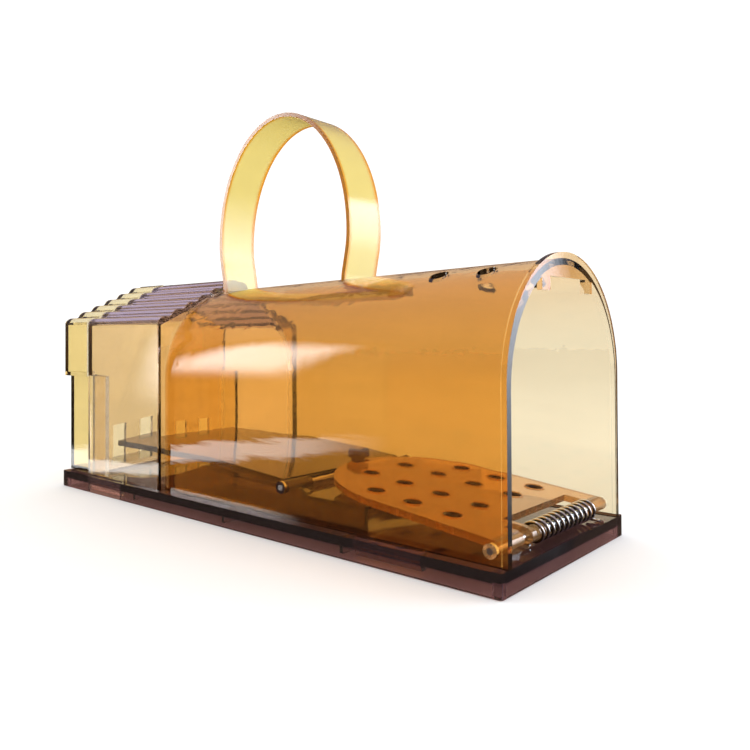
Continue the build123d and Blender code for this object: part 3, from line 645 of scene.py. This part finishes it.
def spring_tree():
    """A wire wound along +Y round the Y axis, with a straight leg at each end."""
    sizes = ("Coil Radius", "Wire Radius", "Turns", "Length", "Door Leg", "Tray Leg")
    tree = tree_with("torsion_spring", sizes)
    link = tree.links.new
    inner = tree.nodes.new("NodeGroupInput")
    coil = add(tree, "GeometryNodeCurveSpiral", Resolution=40)
    coil.inputs["Reverse"].default_value = True
    drives = {"Rotations": "Turns", "Start Radius": "Coil Radius",
              "End Radius": "Coil Radius", "Height": "Length"}
    for socket, size in drives.items():
        link(inner.outputs[size], coil.inputs[socket])
    lay = tree.nodes.new("GeometryNodeTransform")
    lay.inputs["Rotation"].default_value = (-math.pi / 2, math.pi / 2, 0)
    link(coil.outputs[0], lay.inputs["Geometry"])
    bottom = add(tree, "ShaderNodeMath", operation="MULTIPLY")
    bottom.inputs[1].default_value = -1.0
    link(inner.outputs["Coil Radius"], bottom.inputs[0])
    join = tree.nodes.new("GeometryNodeJoinGeometry")
    for leg, way, at_end in (("Tray Leg", 1.0, True), ("Door Leg", -1.0, False)):
        line = tree.nodes.new("GeometryNodeCurvePrimitiveLine")
        start = tree.nodes.new("ShaderNodeCombineXYZ")
        stop = tree.nodes.new("ShaderNodeCombineXYZ")
        reach = add(tree, "ShaderNodeMath", operation="MULTIPLY")
        reach.inputs[1].default_value = way
        link(inner.outputs[leg], reach.inputs[0])
        link(reach.outputs[0], stop.inputs["X"])
        for point in (start, stop):
            link(bottom.outputs[0], point.inputs["Z"])
            if at_end:
                link(inner.outputs["Length"], point.inputs["Y"])
        link(start.outputs[0], line.inputs["Start"])
        link(stop.outputs[0], line.inputs["End"])
        link(line.outputs[0], join.inputs[0])
    link(lay.outputs[0], join.inputs[0])
    profile = add(tree, "GeometryNodeCurvePrimitiveCircle", Resolution=12)
    link(inner.outputs["Wire Radius"], profile.inputs["Radius"])
    wire = tree.nodes.new("GeometryNodeCurveToMesh")
    wire.inputs["Fill Caps"].default_value = True
    link(join.outputs[0], wire.inputs["Curve"])
    link(profile.outputs[0], wire.inputs["Profile Curve"])
    finished(tree, wire.outputs[0], inner)
    return tree


SPRING_START_Y = -13.6 * MM
SPRING_END_Y = 22.4 * MM
spring_sizes = {"Coil Radius": COIL_RADIUS, "Wire Radius": COIL_WIRE, "Turns": 12.0,
                "Length": SPRING_END_Y - SPRING_START_Y, "Door Leg": 9.0 * MM, "Tray Leg": 4.2 * MM}
spring = made_by(spring_tree(), "spring_wire", spring_sizes, spring_steel)
# The mesh itself moves, so the object stays at the origin.
spring.data.transform(Matrix.Translation((hinge.x, SPRING_START_Y, hinge.z)))
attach(spring, "housing")
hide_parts("door_spring")

# %% [markdown]
# ## Rims round the door's holes
# Each hole in the ramp has a fine raised rim, where the mould's pin met the plate. The rims
# catch the lamps. The wall of each hole is too steep to see through and looks dark, so a thin
# dark sleeve of painted shade stands in it. They could be copied and placed one by one, but they repeat by
# rule, in two rows near the middle and two near the sides, so Geometry Nodes lay one ring on
# two grids of points. The CAD door keeps its own holes, and nothing here closes them.

# %% Geometry Nodes: hole rims and painted shade sleeves
DOOR_LENGTH = 69.6 * MM
DOOR_RISE = 7.88 * MM
DOOR_TOP = 2.2 * MM
HOLE_RADIUS = 2.7 * MM
HOLE_PITCH = 13.0 * MM
HOLE_FIRST = 17.4 * MM


def rings_tree(name, tall):
    """Rings at the door's holes, with the hinge at the origin and the door along -X.
    A tall ring has a rectangular section, any other a round one."""
    sizes = ("Hole Radius", "Rim Radius", "Rim Height", "Pitch", "First", "Inner Y", "Outer Y", "Top")
    tree = tree_with(name, sizes)
    link = tree.links.new
    inner = tree.nodes.new("NodeGroupInput")
    join = tree.nodes.new("GeometryNodeJoinGeometry")
    for rows, half in ((4, "Inner Y"), (3, "Outer Y")):
        grid = tree.nodes.new("GeometryNodeMeshGrid")
        grid.inputs["Vertices X"].default_value = rows
        grid.inputs["Vertices Y"].default_value = 2
        run = add(tree, "ShaderNodeMath", operation="MULTIPLY")
        run.inputs[1].default_value = rows - 1
        wide = add(tree, "ShaderNodeMath", operation="MULTIPLY")
        wide.inputs[1].default_value = 2.0
        middle = add(tree, "ShaderNodeMath", operation="MULTIPLY_ADD")
        middle.inputs[1].default_value = -0.5
        back = add(tree, "ShaderNodeMath", operation="MULTIPLY")
        back.inputs[1].default_value = -1.0
        at = tree.nodes.new("ShaderNodeCombineXYZ")
        move = tree.nodes.new("GeometryNodeTransform")
        link(inner.outputs["Pitch"], run.inputs[0])
        link(inner.outputs[half], wide.inputs[0])
        link(run.outputs[0], grid.inputs["Size X"])
        link(wide.outputs[0], grid.inputs["Size Y"])
        link(run.outputs[0], middle.inputs[0])
        link(inner.outputs["First"], back.inputs[0])
        link(back.outputs[0], middle.inputs[2])
        link(middle.outputs[0], at.inputs["X"])
        link(inner.outputs["Top"], at.inputs["Z"])
        link(at.outputs[0], move.inputs["Translation"])
        link(grid.outputs["Mesh"], move.inputs["Geometry"])
        link(move.outputs[0], join.inputs[0])
    round_hole = add(tree, "GeometryNodeCurvePrimitiveCircle", Resolution=36)
    link(inner.outputs["Hole Radius"], round_hole.inputs["Radius"])
    if tall:
        section = tree.nodes.new("GeometryNodeCurvePrimitiveQuadrilateral")
        link(inner.outputs["Rim Radius"], section.inputs["Width"])
        link(inner.outputs["Rim Height"], section.inputs["Height"])
    else:
        section = add(tree, "GeometryNodeCurvePrimitiveCircle", Resolution=8)
        link(inner.outputs["Rim Radius"], section.inputs["Radius"])
    ring = tree.nodes.new("GeometryNodeCurveToMesh")
    link(round_hole.outputs[0], ring.inputs["Curve"])
    link(section.outputs[0], ring.inputs["Profile Curve"])
    lay = tree.nodes.new("GeometryNodeInstanceOnPoints")
    link(join.outputs[0], lay.inputs["Points"])
    link(ring.outputs[0], lay.inputs["Instance"])
    finished(tree, lay.outputs[0], inner)
    return tree


RIM_RADIUS = 0.28 * MM
# The shade sleeves are thin dark sheets of painted shade standing in the holes' walls.
SHADE_SLEEVE_WALL = 0.12 * MM
SHADE_SLEEVE_HEIGHT = 1.8 * MM
ROW_INNER_Y = 9.1 * MM
ROW_OUTER_Y = 23.0 * MM
door_lay = Matrix.Translation(hinge) @ Matrix.Rotation(math.asin(DOOR_RISE / DOOR_LENGTH), 4, "Y")
hole_rows = {"Pitch": HOLE_PITCH, "First": HOLE_FIRST, "Inner Y": ROW_INNER_Y, "Outer Y": ROW_OUTER_Y}
rim_sizes = {"Hole Radius": HOLE_RADIUS + RIM_RADIUS, "Rim Radius": RIM_RADIUS,
             "Rim Height": 0.0, "Top": DOOR_TOP}
shade_sleeve_sizes = {"Hole Radius": HOLE_RADIUS - 0.6 * SHADE_SLEEVE_WALL, "Rim Radius": SHADE_SLEEVE_WALL,
                "Rim Height": SHADE_SLEEVE_HEIGHT, "Top": DOOR_TOP - 0.5 * SHADE_SLEEVE_HEIGHT}
for name, tall, sizes, finish in (("hole_rims", False, rim_sizes, amber_door),
                                  ("hole_shade_sleeves", True, shade_sleeve_sizes, painted_hole_shade)):
    rings = made_by(rings_tree(name, tall), name, {**hole_rows, **sizes}, finish)
    rings.data.transform(door_lay)
    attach(rings, "door")
    print(name, len(rings.data.polygons), "faces, size", rings.dimensions)
